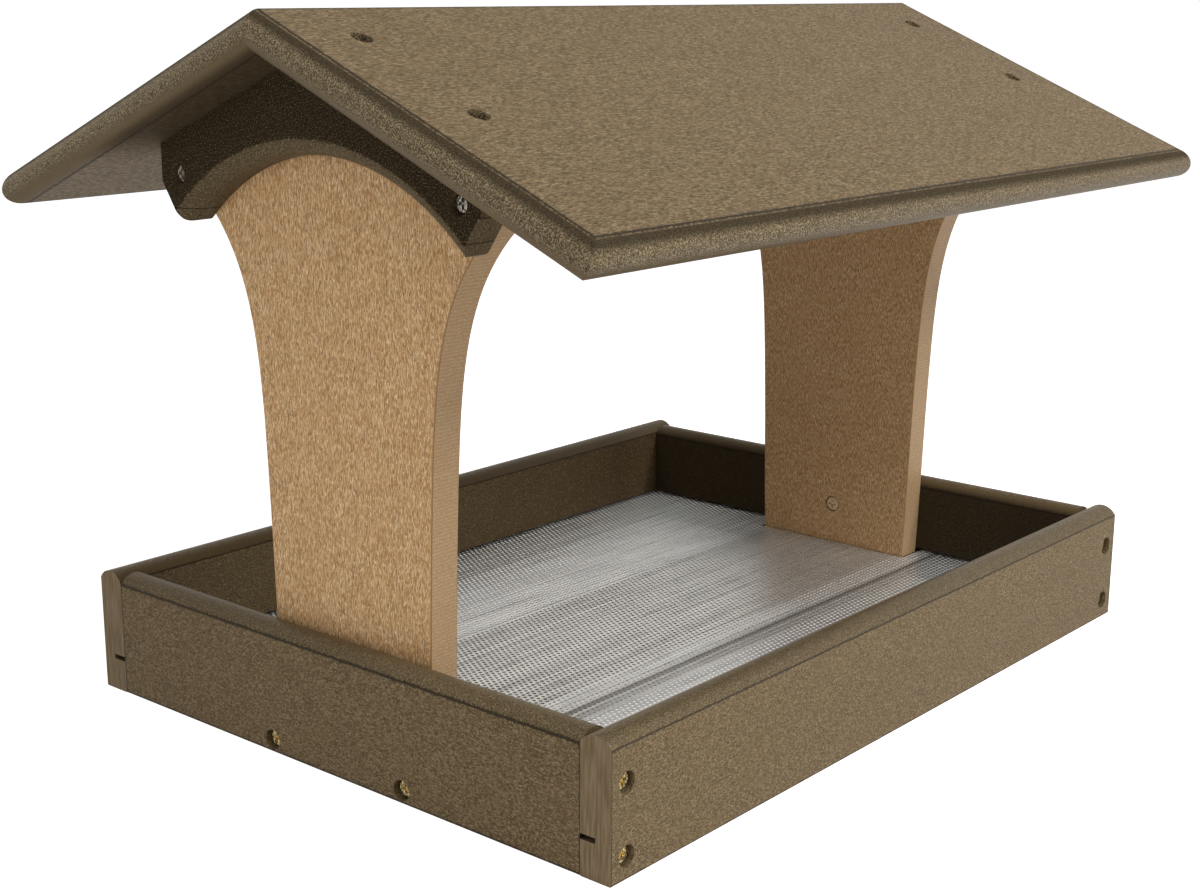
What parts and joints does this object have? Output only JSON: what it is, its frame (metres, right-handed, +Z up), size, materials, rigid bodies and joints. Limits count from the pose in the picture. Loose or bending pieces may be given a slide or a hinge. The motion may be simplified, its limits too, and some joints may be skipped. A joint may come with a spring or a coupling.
{
  "type": "post-mounted bird feeder",
  "caption": "Roofed platform feeder of thick plastic boards: open tray with a perforated screen floor, flared end uprights, arched gable plates and a pitched roof.",
  "frame": {"origin": "middle of the tray's underside, on the middle of the mounting board's underside", "axes": "+X along the ridge, to the right seen from the front; -Y to the front long wall; +Z up to the ridge"},
  "size_m": [0.49, 0.3558, 0.329],
  "materials": {
    "brown_board": "moulded recycled plastic with short pale flecks",
    "tan_board": "cedar coloured recycled plastic with pale and dark flecks",
    "screen_sheet": "plain perforated sheet",
    "yellow_screw": "yellow zinc plating",
    "bright_screw": "bright plating",
    "tan_screw": "painted to match the upright"
  },
  "bodies": {
    "root": {"corner_screws_back": "yellow_screw", "corner_screws_front": "yellow_screw", "end_board_left": "brown_board", "end_board_right": "brown_board", "end_screws_left": "yellow_screw", "end_screws_right": "yellow_screw", "foot_screws_left": "yellow_screw", "foot_screws_right": "yellow_screw", "gable_plate_left": "brown_board", "gable_plate_right": "brown_board", "gable_screws_left": "bright_screw", "gable_screws_right": "bright_screw", "mounting_board": "brown_board", "roof_panel_back": "brown_board", "roof_panel_front": "brown_board", "roof_screws_back": "bright_screw", "roof_screws_front": "bright_screw", "seed_screen": "screen_sheet", "side_board_back": "brown_board", "side_board_front": "brown_board", "upright_left": "tan_board", "upright_right": "tan_board", "upright_screw_left": "tan_screw", "upright_screw_right": "tan_screw"}
  },
  "joints": []
}
